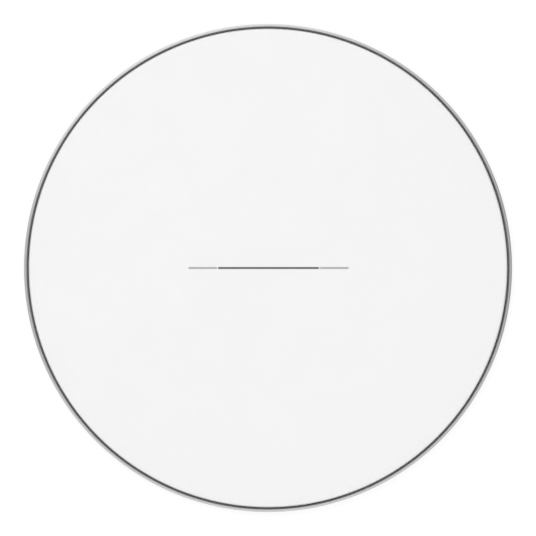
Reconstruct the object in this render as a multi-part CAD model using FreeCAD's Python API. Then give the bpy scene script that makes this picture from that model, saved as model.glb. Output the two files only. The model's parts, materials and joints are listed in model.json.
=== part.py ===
# A timpani head off its drum: one hazy polyester film, drawn down into a collar at its edge,
# locked under a dark steel ring in a rolled aluminium hoop.
# Millimetres. The origin is the centre of the hoop's underside, +Z points up through the
# playing surface, and the printed index line runs along X.

import FreeCAD
import Part
import math
import os

Vector = FreeCAD.Vector
UP = Vector(0, 0, 1)

# Hoop: an aluminium strip rolled to a channel, its outer wall turned in to a lip on top
HOOP_DIAMETER = 787.4        # across the outside of the hoop, 31 inches
CHANNEL_WALL = 1.2           # thickness of the strip
CHANNEL_BEND = 0.8           # inside radius of the strip's bends
STRIP_EDGE_FLAT = 0.2        # flat left between the eased corners of the strip's two edges
LIP_WIDTH = 4.1              # the turned-in lip, from the hoop's outside to the lip's edge
INNER_WALL_DROP = 3.0        # the inner wall ends this far under the lip's top
HOOP_SEAM_GAP = 0.4          # the strip's two ends butt here
HOOP_SEAM_ANGLE = -75.0      # degrees round from +X

# Insert: steel bar on edge, welded to a closed ring, under the lip
INSERT_WIDTH = 4.8           # 3/16 inch bar
INSERT_HEIGHT = 6.4          # 1/4 inch bar
INSERT_EDGE_ROUND = 0.4      # eased corners of the bar
INSERT_CLEARANCE = 0.3       # room between the bar and the lip and outer wall

# Film: one ply, flat to the collar, with its margin tucked outwards under the insert
FILM_THICKNESS = 0.25        # 10 mil polyester
COLLAR_HEIGHT = 9.0          # the playing surface stands this far above the lip's top
COLLAR_BEND = 4.0            # inside radius where the playing surface turns down
COLLAR_SLOT = 1.05           # open slot between the collar and the insert
FILM_CLEARANCE = 0.3         # room between the collar and the channel's inner wall
TUCK_BEND = 1.5              # inside radius where the margin turns outwards
TUCK_END_GAP = 1.0           # from the margin's cut edge to the channel's outer wall
KEY_HOLE_DIAMETER = 3.0      # punched through the margin, so that the resin keys into it
KEY_HOLE_PITCH = 50.0        # spacing of the holes round the margin

# Resin: poured into the bottom of the channel round the film's margin, as the insert's bed
TUCK_BED = 0.5               # resin under the tucked margin
INSERT_BED = 1.15            # resin between the tucked margin and the insert

# Index line: printed across the middle of the playing surface, dark with two pale ends
INK_THICKNESS = 0.05
INDEX_LINE_WIDTH = 3.3
INDEX_DARK_LENGTH = 162.5
INDEX_PALE_LENGTH = 45.7
INDEX_LINE_GAP = 2.0         # bare film between the dark and the pale ink
INDEX_LINE_SHIFT = 0.8       # the print lies this far to the right of the film's middle

# Radii, worked inwards from the outside of the hoop
HOOP_RADIUS = HOOP_DIAMETER / 2
LIP_EDGE = HOOP_RADIUS - LIP_WIDTH
OUTER_WALL_FACE = HOOP_RADIUS - CHANNEL_WALL
TUCK_EDGE = OUTER_WALL_FACE - TUCK_END_GAP
INSERT_RADIUS = OUTER_WALL_FACE - INSERT_CLEARANCE
INSERT_BORE = INSERT_RADIUS - INSERT_WIDTH
COLLAR_RADIUS = INSERT_BORE - COLLAR_SLOT
COLLAR_FACE = COLLAR_RADIUS - FILM_THICKNESS
INNER_WALL_FACE = COLLAR_FACE - FILM_CLEARANCE
HOOP_BORE = INNER_WALL_FACE - CHANNEL_WALL

# Heights, stacked up from the hoop's underside
TUCK_UNDERSIDE = CHANNEL_WALL + TUCK_BED
TUCK_TOP = TUCK_UNDERSIDE + FILM_THICKNESS
INSERT_BASE = TUCK_TOP + INSERT_BED
INSERT_TOP = INSERT_BASE + INSERT_HEIGHT
LIP_UNDERSIDE = INSERT_TOP + INSERT_CLEARANCE
HOOP_TOP = LIP_UNDERSIDE + CHANNEL_WALL
INNER_WALL_TOP = HOOP_TOP - INNER_WALL_DROP
PLAYING_SURFACE = HOOP_TOP + COLLAR_HEIGHT
FILM_UNDERSIDE = PLAYING_SURFACE - FILM_THICKNESS

# Rounds of the strip: outside its bends, and along its edges, where they can't cut the film
CHANNEL_CORNER = CHANNEL_BEND + CHANNEL_WALL
EDGE_ROUND = (CHANNEL_WALL - STRIP_EDGE_FLAT) / 2


def rounded_section(corners):
    """A closed face in the XZ plane from (radius, height, corner round) corners."""
    points = [Vector(radius, 0, height) for radius, height, _ in corners]
    starts, ends, middles = [], [], []
    for i, (_, _, corner_round) in enumerate(corners):
        corner = points[i]
        back = (points[i - 1] - corner).normalize()
        ahead = (points[(i + 1) % len(points)] - corner).normalize()
        half_turn = back.getAngle(ahead) / 2
        tangent = corner_round / math.tan(half_turn)
        inwards = (back + ahead).normalize()
        starts.append(corner + back * tangent)
        ends.append(corner + ahead * tangent)
        middles.append(corner + inwards * (corner_round / math.sin(half_turn) - corner_round))
    edges = []
    for i, (_, _, corner_round) in enumerate(corners):
        if corner_round > 0:
            edges.append(Part.Arc(starts[i], middles[i], ends[i]).toShape())
        edges.append(Part.LineSegment(ends[i], starts[(i + 1) % len(corners)]).toShape())
    return Part.Face(Part.Wire(edges))


def turned(section, gap=0, gap_angle=0):
    """The solid that a section sweeps about Z in joined quarters, left open by a gap at that angle."""
    gap_turn = math.degrees(gap / HOOP_RADIUS)
    quarter_turn = (360 - gap_turn) / 4
    quarters = []
    for i in range(4):
        quarter = section.revolve(Vector(0, 0, 0), UP, quarter_turn)
        quarter.rotate(Vector(0, 0, 0), UP, gap_angle + gap_turn / 2 + i * quarter_turn)
        quarters.append(quarter)
    return quarters[0].multiFuse(quarters[1:]).Solids[0]


def make_hoop_channel():
    """The rolled strip: inner wall, flat base, outer wall and turned-in lip, butted at its seam."""
    section = rounded_section([
        (HOOP_BORE, INNER_WALL_TOP, EDGE_ROUND),
        (HOOP_BORE, 0, CHANNEL_CORNER),
        (HOOP_RADIUS, 0, CHANNEL_CORNER),
        (HOOP_RADIUS, HOOP_TOP, CHANNEL_CORNER),
        (LIP_EDGE, HOOP_TOP, EDGE_ROUND),
        (LIP_EDGE, LIP_UNDERSIDE, EDGE_ROUND),
        (OUTER_WALL_FACE, LIP_UNDERSIDE, CHANNEL_BEND),
        (OUTER_WALL_FACE, CHANNEL_WALL, CHANNEL_BEND),
        (INNER_WALL_FACE, CHANNEL_WALL, CHANNEL_BEND),
        (INNER_WALL_FACE, INNER_WALL_TOP, EDGE_ROUND),
    ])
    return turned(section, HOOP_SEAM_GAP, HOOP_SEAM_ANGLE)


def make_film():
    """The film: flat playing surface, collar, and the tucked margin with its punched key holes."""
    section = rounded_section([
        (0, PLAYING_SURFACE, 0),
        (COLLAR_RADIUS, PLAYING_SURFACE, COLLAR_BEND + FILM_THICKNESS),
        (COLLAR_RADIUS, TUCK_TOP, TUCK_BEND),
        (TUCK_EDGE, TUCK_TOP, 0),
        (TUCK_EDGE, TUCK_UNDERSIDE, 0),
        (COLLAR_FACE, TUCK_UNDERSIDE, TUCK_BEND + FILM_THICKNESS),
        (COLLAR_FACE, FILM_UNDERSIDE, COLLAR_BEND),
        (0, FILM_UNDERSIDE, 0),
    ])
    return turned(section).cut(key_holes())


def key_holes():
    """Punches for the margin's holes, on a circle in the middle of the flat of the tuck."""
    circle_radius = (COLLAR_RADIUS + TUCK_BEND + TUCK_EDGE) / 2
    count = round(2 * math.pi * circle_radius / KEY_HOLE_PITCH)
    punches = []
    for i in range(count):
        turn = 2 * math.pi * i / count
        foot = Vector(circle_radius * math.cos(turn), circle_radius * math.sin(turn), CHANNEL_WALL)
        punches.append(Part.makeCylinder(KEY_HOLE_DIAMETER / 2, INSERT_BASE - CHANNEL_WALL, foot, UP))
    return Part.makeCompound(punches)


def make_resin_bed(film):
    """The bottom of the channel, filled round the film's margin and through its holes."""
    section = rounded_section([
        (INNER_WALL_FACE, INSERT_BASE, 0),
        (INNER_WALL_FACE, CHANNEL_WALL, CHANNEL_BEND),
        (OUTER_WALL_FACE, CHANNEL_WALL, CHANNEL_BEND),
        (OUTER_WALL_FACE, INSERT_BASE, 0),
    ])
    return turned(section).cut(film)


def make_insert_ring():
    """The steel bar with its eased corners, standing on the resin."""
    section = rounded_section([
        (INSERT_BORE, INSERT_BASE, INSERT_EDGE_ROUND),
        (INSERT_RADIUS, INSERT_BASE, INSERT_EDGE_ROUND),
        (INSERT_RADIUS, INSERT_TOP, INSERT_EDGE_ROUND),
        (INSERT_BORE, INSERT_TOP, INSERT_EDGE_ROUND),
    ])
    return turned(section)


def ink_bar(length, middle):
    """A printed bar on the playing surface, along X, its middle that far from the line's."""
    bar = Part.makeBox(length, INDEX_LINE_WIDTH, INK_THICKNESS)
    start = INDEX_LINE_SHIFT + middle - length / 2
    bar.translate(Vector(start, -INDEX_LINE_WIDTH / 2, PLAYING_SURFACE))
    return bar


def make_index_line_ends():
    """The two pale bars, one past each end of the dark one."""
    offset = INDEX_DARK_LENGTH / 2 + INDEX_LINE_GAP + INDEX_PALE_LENGTH / 2
    return Part.makeCompound([ink_bar(INDEX_PALE_LENGTH, side * offset) for side in (-1, 1)])


def main():
    film = make_film()
    pieces = {
        "hoop_channel": make_hoop_channel(),
        "film_membrane": film,
        "resin_bed": make_resin_bed(film),
        "insert_ring": make_insert_ring(),
        "index_line_middle": ink_bar(INDEX_DARK_LENGTH, 0),
        "index_line_ends": make_index_line_ends(),
    }
    os.makedirs("parts", exist_ok=True)
    for node, shape in pieces.items():
        shape.exportStep(f"parts/{node}.step")
        print(node, "solids", len(shape.Solids), "valid", shape.isValid(), "volume", round(shape.Volume, 1))


main()
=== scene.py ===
import json
import math

import bmesh
import bpy
from mathutils import Matrix, Vector


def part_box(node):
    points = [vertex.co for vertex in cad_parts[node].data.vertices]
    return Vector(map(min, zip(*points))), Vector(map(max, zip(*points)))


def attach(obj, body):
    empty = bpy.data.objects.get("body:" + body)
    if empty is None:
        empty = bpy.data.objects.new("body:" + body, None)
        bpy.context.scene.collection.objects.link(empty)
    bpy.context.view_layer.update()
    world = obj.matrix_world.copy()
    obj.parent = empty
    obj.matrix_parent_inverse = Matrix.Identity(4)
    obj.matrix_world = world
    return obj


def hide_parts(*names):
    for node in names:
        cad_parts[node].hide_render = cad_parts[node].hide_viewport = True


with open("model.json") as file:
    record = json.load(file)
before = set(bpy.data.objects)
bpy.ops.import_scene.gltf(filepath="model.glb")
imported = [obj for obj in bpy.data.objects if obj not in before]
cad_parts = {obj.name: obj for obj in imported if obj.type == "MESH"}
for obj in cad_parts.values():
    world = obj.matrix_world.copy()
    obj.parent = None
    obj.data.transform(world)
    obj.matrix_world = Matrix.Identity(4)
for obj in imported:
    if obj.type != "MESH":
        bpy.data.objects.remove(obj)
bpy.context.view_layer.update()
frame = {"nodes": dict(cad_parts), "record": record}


# Hoop channel: an aluminium strip, rolled to an upright trough and bent round to a hoop.
# Its outer wall turns in at the top to a lip, which the drum's counterhoop pulls down on, and its two
# ends butt at a seam. The satin face keeps the fine lines that the rolls left, all round the hoop.
MM = 0.001
mounts = {mount["name"]: mount for mount in frame["record"]["mounts"]}
hoop_radius = mounts["hoop_outside"]["dims"]["r_mm"] * MM
hoop_bore = mounts["hoop_bore"]["dims"]["r_mm"] * MM
hoop_base = mounts["hoop_base"]["pos_m"][2]
hoop_top = mounts["counterhoop_seat"]["pos_m"][2]
strip_wall = 1.2 * MM
strip_bend = 0.8 * MM
strip_corner = strip_bend + strip_wall
strip_edge_round = 0.5 * MM
lip_width = 4.1 * MM
lip_edge = hoop_radius - lip_width
lip_underside = hoop_top - strip_wall
outer_wall_face = hoop_radius - strip_wall
inner_wall_drop = 3.0 * MM
inner_wall_top = hoop_top - inner_wall_drop
inner_wall_face = hoop_bore + strip_wall
channel_floor = hoop_base + strip_wall
seam_gap = 0.4 * MM
seam_angle = math.radians(-75)
merge_distance = 0.001 * MM
sharp_angle = math.radians(40)
noise_per_radian = 2 * MM


def rounded_line(corners, closed=True, round_steps=10):
    """A bmesh with one line through (radius, height, corner round) corners, in the XZ plane."""
    line = bmesh.new()
    ends = [line.verts.new((radius, 0, height)) for radius, height, _ in corners]
    for i in range(len(ends) if closed else len(ends) - 1):
        line.edges.new((ends[i], ends[(i + 1) % len(ends)]))
    for corner, (_, _, corner_round) in zip(ends, corners):
        if corner_round > 0:
            bmesh.ops.bevel(line, geom=[corner], offset=corner_round, offset_type="OFFSET",
                            affect="VERTICES", segments=round_steps, profile=0.5, material=-1)
    return line


def turn(line, gap=0.0, gap_angle=0.0, sectors=12, sector_steps=40):
    """Sweeps a line about Z to a closed shell, sector by sector, left open by a gap at that angle."""
    gap_turn = gap / hoop_radius
    sector = (2 * math.pi - gap_turn) / sectors
    start = Matrix.Rotation(gap_angle + gap_turn / 2, 3, "Z")
    bmesh.ops.rotate(line, verts=line.verts, cent=(0, 0, 0), matrix=start)
    bmesh.ops.spin(line, geom=line.verts[:] + line.edges[:], cent=(0, 0, 0), axis=(0, 0, 1),
                   angle=sector, steps=sector_steps)
    swept = line.verts[:] + line.edges[:] + line.faces[:]
    bmesh.ops.spin(line, geom=swept, cent=(0, 0, 0), axis=(0, 0, 1), angle=sector * (sectors - 1),
                   steps=sectors - 1, use_duplicate=True)
    bmesh.ops.remove_doubles(line, verts=line.verts, dist=merge_distance)
    open_ends = [edge for edge in line.edges if edge.is_boundary]
    if open_ends:
        bmesh.ops.edgeloop_fill(line, edges=open_ends)
    bmesh.ops.recalc_face_normals(line, faces=line.faces)


def piece_from(shape, name, finish, slot, *nodes):
    """The finished piece: smooth but for its sharp edges, in its finish, in place of its nodes."""
    mesh = bpy.data.meshes.new(name)
    shape.to_mesh(mesh)
    shape.free()
    mesh.shade_smooth()
    mesh.set_sharp_from_angle(angle=sharp_angle)
    mesh.materials.append(finish)
    piece = bpy.data.objects.new(name, mesh)
    bpy.context.scene.collection.objects.link(piece)
    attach(piece, "root")
    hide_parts(*nodes)


def node(tree, kind, sockets, **settings):
    """A shader node with its settings made, and its sockets set or linked to other sockets."""
    made = tree.nodes.new("ShaderNode" + kind)
    for setting, value in settings.items():
        setattr(made, setting, value)
    for socket, value in sockets.items():
        if isinstance(value, bpy.types.NodeSocket):
            tree.links.new(value, made.inputs[socket])
        else:
            made.inputs[socket].default_value = value
    return made


def new_finish(name):
    """A new material, its node tree and its Principled shader."""
    finish = bpy.data.materials.new(name)
    finish.use_nodes = True
    return finish, finish.node_tree, finish.node_tree.nodes["Principled BSDF"]


def spread(tree, value, low, high):
    """A noise value, which lies mostly between 0.3 and 0.7, spread from low to high."""
    limits = {"Value": value, "From Min": 0.3, "From Max": 0.7, "To Min": low, "To Max": high}
    return node(tree, "MapRange", limits).outputs["Result"]


def greys(tree, value, low, high):
    """A noise value as a neutral colour between two greys."""
    level = spread(tree, value, low, high)
    return node(tree, "CombineColor", {"Red": level, "Green": level, "Blue": level}).outputs["Color"]


def round_lines(tree, scale, seam=0.0):
    """Noise drawn out into fine lines round the Z axis, with its own join at the seam's angle."""
    place = node(tree, "TexCoord", {}).outputs["Object"]
    turned = node(tree, "Mapping", {"Vector": place, "Rotation": (0, 0, math.pi - seam)})
    x, y, z = node(tree, "SeparateXYZ", {0: turned.outputs["Vector"]}).outputs
    flat = node(tree, "CombineXYZ", {"X": x, "Y": y}).outputs["Vector"]
    radius = node(tree, "VectorMath", {0: flat}, operation="LENGTH").outputs["Value"]
    angle = node(tree, "Math", {0: y, 1: x}, operation="ARCTAN2").outputs["Value"]
    along = node(tree, "Math", {0: angle, 1: noise_per_radian}, operation="MULTIPLY").outputs["Value"]
    across = node(tree, "CombineXYZ", {"X": radius, "Y": z, "Z": along}).outputs["Vector"]
    grain = node(tree, "TexNoise", {"Vector": across, "Scale": scale, "Detail": 3, "Roughness": 0.6})
    return grain.outputs["Fac"]


def hoop_aluminium():
    """Satin mill-finish aluminium: rolling lines, broader streaks and faint handling marks."""
    finish, tree, shader = new_finish("hoop_aluminium")
    fine = round_lines(tree, scale=3500, seam=seam_angle)
    broad = round_lines(tree, scale=700, seam=seam_angle)
    lines = node(tree, "Mix", {"Factor": 0.4, "A": fine, "B": broad}).outputs["Result"]
    place = node(tree, "TexCoord", {}).outputs["Object"]
    marks = node(tree, "TexNoise", {"Vector": place, "Scale": 45, "Detail": 5, "Roughness": 0.65})
    dull = spread(tree, marks.outputs["Fac"], low=-0.04, high=0.06)
    grain = spread(tree, lines, low=0.36, high=0.48)
    roughness = node(tree, "Math", {0: grain, 1: dull}, operation="ADD").outputs["Value"]
    bump = node(tree, "Bump", {"Height": lines, "Strength": 0.25, "Distance": 0.02 * MM})
    tangent = node(tree, "Tangent", {}, direction_type="RADIAL", axis="Z")
    shader.inputs["Metallic"].default_value = 1.0
    shader.inputs["Anisotropic"].default_value = 0.85
    shader.inputs["Anisotropic Rotation"].default_value = 0.25
    tree.links.new(greys(tree, lines, low=0.47, high=0.63), shader.inputs["Base Color"])
    tree.links.new(roughness, shader.inputs["Roughness"])
    tree.links.new(bump.outputs["Normal"], shader.inputs["Normal"])
    tree.links.new(tangent.outputs["Tangent"], shader.inputs["Tangent"])
    return finish


hoop_line = rounded_line([
    (hoop_bore, inner_wall_top, strip_edge_round),
    (hoop_bore, hoop_base, strip_corner),
    (hoop_radius, hoop_base, strip_corner),
    (hoop_radius, hoop_top, strip_corner),
    (lip_edge, hoop_top, strip_edge_round),
    (lip_edge, lip_underside, strip_edge_round),
    (outer_wall_face, lip_underside, strip_bend),
    (outer_wall_face, channel_floor, strip_bend),
    (inner_wall_face, channel_floor, strip_bend),
    (inner_wall_face, inner_wall_top, strip_edge_round),
])
turn(hoop_line, seam_gap, seam_angle)
piece_from(hoop_line, "rolled_hoop", hoop_aluminium(), "hoop_aluminium", "hoop_channel")


# Film: one ply of hazy polyester, half see-through, drawn down hot over a former to its collar.
# Its margin turns outwards in the bottom of the channel, where the resin locks into a ring of
# punched holes.
film_thickness = 0.25 * MM
film_clearance = 0.3 * MM
film_underside = mounts["bearing_face"]["pos_m"][2]
playing_surface = film_underside + film_thickness
playing_surface_cuts = 15
collar_face = inner_wall_face + film_clearance
collar_radius = collar_face + film_thickness
collar_bend = 4.0 * MM
tuck_bend = 1.5 * MM
tuck_bed = 0.5 * MM
tuck_underside = channel_floor + tuck_bed
tuck_top = tuck_underside + film_thickness
tuck_end_gap = 1.0 * MM
tuck_edge = outer_wall_face - tuck_end_gap
key_hole_radius = 1.5 * MM
key_hole_steps = 24
key_hole_pitch = 50 * MM
key_hole_circle = (collar_radius + tuck_bend + tuck_edge) / 2
key_hole_count = round(2 * math.pi * key_hole_circle / key_hole_pitch)
punch_length = 4 * film_thickness


def punched(shape, punches):
    """A closed shape with the punches' shapes cut out of it."""
    blank = bpy.data.objects.new("blank", bpy.data.meshes.new("blank"))
    punch = bpy.data.objects.new("punch", bpy.data.meshes.new("punch"))
    for solid, form in ((blank, shape), (punch, punches)):
        form.to_mesh(solid.data)
        form.free()
        bpy.context.scene.collection.objects.link(solid)
    cut = blank.modifiers.new("cut", "BOOLEAN")
    cut.object = punch
    left = bmesh.new()
    left.from_object(blank, bpy.context.evaluated_depsgraph_get())
    bmesh.ops.remove_doubles(left, verts=left.verts, dist=merge_distance)
    for solid in (blank, punch):
        bpy.data.meshes.remove(solid.data)
    return left


def hazy_film():
    """Hazy polyester, slightly uneven from being drawn."""
    finish, tree, shader = new_finish("hazy_film")
    place = node(tree, "TexCoord", {}).outputs["Object"]
    haze = node(tree, "TexNoise", {"Vector": place, "Scale": 14, "Detail": 5, "Roughness": 0.6})
    grain = node(tree, "TexNoise", {"Vector": place, "Scale": 900, "Detail": 2, "Roughness": 0.5})
    pull = node(tree, "TexNoise", {"Vector": place, "Scale": 9, "Detail": 2, "Roughness": 0.4})
    waves = node(tree, "Bump", {"Height": pull.outputs["Fac"], "Strength": 0.15, "Distance": 1.0 * MM})
    satin = node(tree, "Bump", {"Height": grain.outputs["Fac"], "Strength": 0.04, "Distance": 0.02 * MM,
                                "Normal": waves.outputs["Normal"]})
    shader.inputs["IOR"].default_value = 1.57
    shader.inputs["Alpha"].default_value = 0.38
    tree.links.new(greys(tree, haze.outputs["Fac"], low=0.915, high=0.935), shader.inputs["Base Color"])
    tree.links.new(spread(tree, haze.outputs["Fac"], low=0.13, high=0.20), shader.inputs["Roughness"])
    tree.links.new(satin.outputs["Normal"], shader.inputs["Normal"])
    return finish


film_line = rounded_line([
    (0, playing_surface, 0),
    (collar_radius, playing_surface, collar_bend + film_thickness),
    (collar_radius, tuck_top, tuck_bend),
    (tuck_edge, tuck_top, 0),
    (tuck_edge, tuck_underside, 0),
    (collar_face, tuck_underside, tuck_bend + film_thickness),
    (collar_face, film_underside, collar_bend),
    (0, film_underside, 0),
], closed=False)
flats = [edge for edge in film_line.edges if edge.calc_length() > collar_radius / 2]
bmesh.ops.subdivide_edges(film_line, edges=flats, cuts=playing_surface_cuts)
turn(film_line)
punches = bmesh.new()
for i in range(key_hole_count):
    place = Matrix.Rotation(2 * math.pi * i / key_hole_count, 4, "Z")
    place @= Matrix.Translation((key_hole_circle, 0, tuck_top))
    bmesh.ops.create_cone(punches, cap_ends=True, segments=key_hole_steps, radius1=key_hole_radius,
                          radius2=key_hole_radius, depth=punch_length, matrix=place)
film_shell = punched(film_line, punches)
piece_from(film_shell, "hazy_film", hazy_film(), "hazy_film", "film_membrane")


# Resin bed: resin, poured into the bottom of the channel over the film's punched margin.
# It sets half-glossy, and shows only at the bottom of the slot beside the collar. Its near-black colour
# there is painted shade, which darkens the bottom of that narrow slot.
def dark_resin():
    """Set resin with a soft skin and small dimples, coloured near black as painted shade."""
    finish, tree, shader = new_finish("dark_resin")
    place = node(tree, "TexCoord", {}).outputs["Object"]
    skin = node(tree, "TexNoise", {"Vector": place, "Scale": 250, "Detail": 4, "Roughness": 0.6})
    bump = node(tree, "Bump", {"Height": skin.outputs["Fac"], "Strength": 0.3, "Distance": 0.1 * MM})
    # Painted shade: the near-black base colour stands in for the shade at the bottom of the slot.
    tree.links.new(greys(tree, skin.outputs["Fac"], low=0.06, high=0.09), shader.inputs["Base Color"])
    tree.links.new(spread(tree, skin.outputs["Fac"], low=0.25, high=0.4), shader.inputs["Roughness"])
    tree.links.new(bump.outputs["Normal"], shader.inputs["Normal"])
    return finish


frame["nodes"]["resin_bed"].material_slots[0].material = dark_resin()


# Insert ring: steel bar, set on edge and welded to a closed ring, standing on the resin.
# It holds the margin down, and its dark grey top makes the dark ring that shows inside the lip.
insert_width = 4.8 * MM
insert_clearance = 0.3 * MM
insert_edge_round = 0.4 * MM
insert_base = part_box("insert_ring")[0].z
insert_top = lip_underside - insert_clearance
insert_radius = outer_wall_face - insert_clearance
insert_bore = insert_radius - insert_width


def dark_steel():
    """Dark grey steel, half-matt, with drawing lines along the bar."""
    finish, tree, shader = new_finish("dark_steel")
    lines = round_lines(tree, scale=2500)
    bump = node(tree, "Bump", {"Height": lines, "Strength": 0.2, "Distance": 0.03 * MM})
    tree.links.new(greys(tree, lines, low=0.115, high=0.145), shader.inputs["Base Color"])
    tree.links.new(spread(tree, lines, low=0.42, high=0.55), shader.inputs["Roughness"])
    tree.links.new(bump.outputs["Normal"], shader.inputs["Normal"])
    return finish


insert_line = rounded_line([
    (insert_bore, insert_base, insert_edge_round),
    (insert_radius, insert_base, insert_edge_round),
    (insert_radius, insert_top, insert_edge_round),
    (insert_bore, insert_top, insert_edge_round),
], round_steps=6)
turn(insert_line)
piece_from(insert_line, "insert_bar", dark_steel(), "dark_steel", "insert_ring")


# Index line: three bars of ink, printed across the middle of the film, dark with two pale ends.
# A player turns the head by it and strikes clear of it. The ink lies on the film as a thin matt layer.
dark_low, dark_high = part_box("index_line_middle")
ends_low, ends_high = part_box("index_line_ends")
pale_length = 45.7 * MM
ink_corner_round = 0.15 * MM
ink_corner_steps = 4


def add_ink_bar(shape, first_end, last_end, half_width, top):
    """A thin printed bar on the playing surface, its corners a little round."""
    corners = bmesh.ops.create_grid(shape, x_segments=1, y_segments=1, size=0.5)["verts"]
    size = (last_end - first_end, 2 * half_width, 1)
    bmesh.ops.scale(shape, verts=corners, vec=size)
    bmesh.ops.translate(shape, verts=corners, vec=((first_end + last_end) / 2, 0, playing_surface))
    bmesh.ops.bevel(shape, geom=corners, offset=ink_corner_round, offset_type="OFFSET", affect="VERTICES",
                    segments=ink_corner_steps, profile=0.5, material=-1)
    sheet = [face for face in shape.faces if len(face.verts) == 4 * (ink_corner_steps + 1)
             and first_end < face.calc_center_median().x < last_end]
    risen = bmesh.ops.extrude_face_region(shape, geom=sheet, use_keep_orig=True)["geom"]
    lifted = [part for part in risen if isinstance(part, bmesh.types.BMVert)]
    bmesh.ops.translate(shape, verts=lifted, vec=(0, 0, top - playing_surface))
    bmesh.ops.recalc_face_normals(shape, faces=shape.faces)


def printed_ink(name, low, high):
    """Matt screen ink between two greys: a grain of fine pinholes and an uneven lay."""
    finish, tree, shader = new_finish(name)
    place = node(tree, "TexCoord", {}).outputs["Object"]
    grain = node(tree, "TexNoise", {"Vector": place, "Scale": 1400, "Detail": 3, "Roughness": 0.6})
    bump = node(tree, "Bump", {"Height": grain.outputs["Fac"], "Strength": 0.2, "Distance": 0.02 * MM})
    tree.links.new(greys(tree, grain.outputs["Fac"], low, high), shader.inputs["Base Color"])
    tree.links.new(spread(tree, grain.outputs["Fac"], low=0.5, high=0.65), shader.inputs["Roughness"])
    tree.links.new(bump.outputs["Normal"], shader.inputs["Normal"])
    return finish


dark_bar = bmesh.new()
add_ink_bar(dark_bar, dark_low.x, dark_high.x, dark_high.y, dark_high.z)
dark_ink = printed_ink("dark_ink", low=0.11, high=0.145)
piece_from(dark_bar, "index_line_dark", dark_ink, "dark_ink", "index_line_middle")
pale_bars = bmesh.new()
add_ink_bar(pale_bars, ends_low.x, ends_low.x + pale_length, ends_high.y, ends_high.z)
add_ink_bar(pale_bars, ends_high.x - pale_length, ends_high.x, ends_high.y, ends_high.z)
pale_ink = printed_ink("pale_ink", low=0.40, high=0.45)
piece_from(pale_bars, "index_line_pale", pale_ink, "pale_ink", "index_line_ends")


# Floor: a white sweep, just clear of the hoop's underside. The camera, the metal and the film see it
# near white and with the head's shadow. To the light it is plain white paper.
floor_size = 12.0
floor_drop = 0.2 * MM
floor_shade = (0.18, 0.18, 0.18, 1)
floor_glow = 0.84
floor_paper = (0.8, 0.8, 0.8, 1)


def shown_rays(tree):
    """1 for rays that show a thing to the camera, straight or by way of a gloss, and 0 for others."""
    rays = node(tree, "LightPath", {}).outputs
    shown = rays["Is Camera Ray"]
    for kind in ("Is Glossy Ray", "Is Transmission Ray"):
        shown = node(tree, "Math", {0: shown, 1: rays[kind]}, operation="MAXIMUM").outputs["Value"]
    return shown


def white_sweep():
    """White to the eye, with a soft shadow, and clear from below."""
    finish, tree, shader = new_finish("white_sweep")
    shade = node(tree, "BsdfDiffuse", {"Color": floor_shade}).outputs["BSDF"]
    glow = node(tree, "Emission", {"Color": (1, 1, 1, 1), "Strength": floor_glow}).outputs["Emission"]
    seen = node(tree, "AddShader", {0: shade, 1: glow}).outputs["Shader"]
    paper = node(tree, "BsdfDiffuse", {"Color": floor_paper}).outputs["BSDF"]
    above = node(tree, "MixShader", {0: shown_rays(tree), 1: paper, 2: seen}).outputs["Shader"]
    below = node(tree, "BsdfTransparent", {}).outputs["BSDF"]
    back = node(tree, "NewGeometry", {}).outputs["Backfacing"]
    surface = node(tree, "MixShader", {0: back, 1: above, 2: below}).outputs["Shader"]
    tree.links.new(surface, tree.nodes["Material Output"].inputs["Surface"])
    tree.nodes.remove(shader)
    return finish


def stage_card(name, size, place, finish):
    """A flat square of the set, facing up at its place."""
    card = bmesh.new()
    corners = bmesh.ops.create_grid(card, x_segments=1, y_segments=1, size=size / 2)["verts"]
    bmesh.ops.translate(card, verts=corners, vec=place)
    mesh = bpy.data.meshes.new(name)
    card.to_mesh(mesh)
    card.free()
    mesh.materials.append(finish)
    set_piece = bpy.data.objects.new(name, mesh)
    bpy.context.scene.collection.objects.link(set_piece)
    return set_piece


stage_card("floor", floor_size, (0, 0, hoop_base - floor_drop), white_sweep())


# Side cards: two grey cards, one past each side of the head, which show in reflections alone.
# They give the hoop its darker left and right, as a satin metal ring has in a studio.
card_height = 4.0
card_middle_height = 2.0


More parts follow.
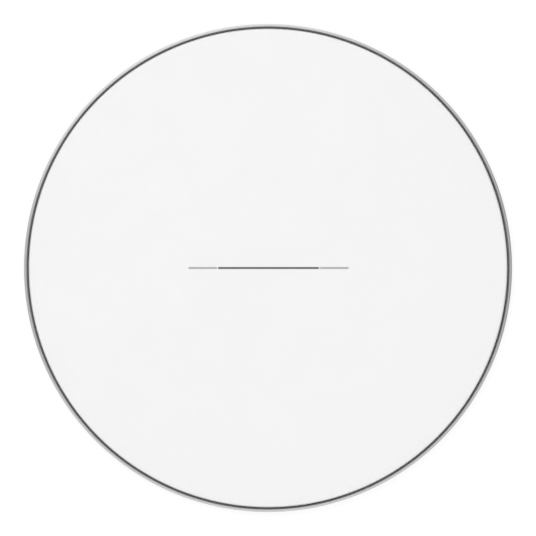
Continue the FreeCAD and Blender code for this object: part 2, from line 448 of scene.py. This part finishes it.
def grey_card(name, grey, width, x, y):
    """An upright card, square to the X axis, at that place beside the head."""
    finish, _, shader = new_finish(name)
    shader.inputs["Base Color"].default_value = (0, 0, 0, 1)
    shader.inputs["Specular IOR Level"].default_value = 0
    shader.inputs["Emission Color"].default_value = (grey, grey, grey, 1)
    shader.inputs["Emission Strength"].default_value = 1
    card = stage_card(name, 1.0, (0, 0, 0), finish)
    upright = Matrix.Rotation(math.pi / 2, 4, "Y") @ Matrix.Diagonal((card_height, width, 1, 1))
    card.data.transform(Matrix.Translation((x, y, card_middle_height)) @ upright)
    card.visible_camera = False
    card.visible_diffuse = False
    card.visible_transmission = False
    card.visible_shadow = False


grey_card("right_card", grey=0.31, width=2.2, x=2.5, y=0)
grey_card("left_card", grey=0.79, width=2.4, x=-2.5, y=-0.2)


# Light: a white room, with a broad soft lamp past the far edge of the head and a weaker one past
# the near edge. They sit to the left of the middle, so the hoop is brightest at its upper left.
lamp_height = 4.6
lamp_length = 7.0
lamp_width = 3.0
room_light = 0.745
room_shown = 1.0


def soft_lamp(name, watts, x, y):
    """A long soft lamp, level along its length, that faces the middle of the head."""
    light = bpy.data.lights.new(name, "AREA")
    light.shape = "RECTANGLE"
    light.size = lamp_length
    light.size_y = lamp_width
    light.energy = watts
    lamp = bpy.data.objects.new(name, light)
    lamp.location = (x, y, lamp_height)
    lamp.rotation_euler = Vector((-x, -y, -lamp_height)).to_track_quat("-Z", "Y").to_euler()
    lamp.visible_camera = False
    bpy.context.scene.collection.objects.link(lamp)


soft_lamp("key_lamp", watts=125, x=-1.7, y=3.6)
soft_lamp("fill_lamp", watts=45, x=-0.9, y=-3.9)
world = bpy.data.worlds.new("white_room")
bpy.context.scene.world = world
world.use_nodes = True
sky = world.node_tree
white = node(sky, "MapRange", {"Value": shown_rays(sky), "To Min": room_light, "To Max": room_shown})
sky.nodes["Background"].inputs["Color"].default_value = (1, 1, 1, 1)
sky.links.new(white.outputs["Result"], sky.nodes["Background"].inputs["Strength"])


# Camera: straight above the middle of the head, square to it, with no perspective.
# The hoop's outside falls as far from the picture's middle as it does in the photograph.
picture_width = 536
hoop_radius_in_picture = 244.0
camera_height = 3.0
camera = bpy.data.cameras.new("overhead")
camera.type = "ORTHO"
camera.ortho_scale = hoop_radius * picture_width / hoop_radius_in_picture
overhead = bpy.data.objects.new("overhead", camera)
overhead.location = (0, 0, camera_height)
bpy.context.scene.collection.objects.link(overhead)
bpy.context.scene.camera = overhead
bpy.context.scene.view_settings.view_transform = "Standard"
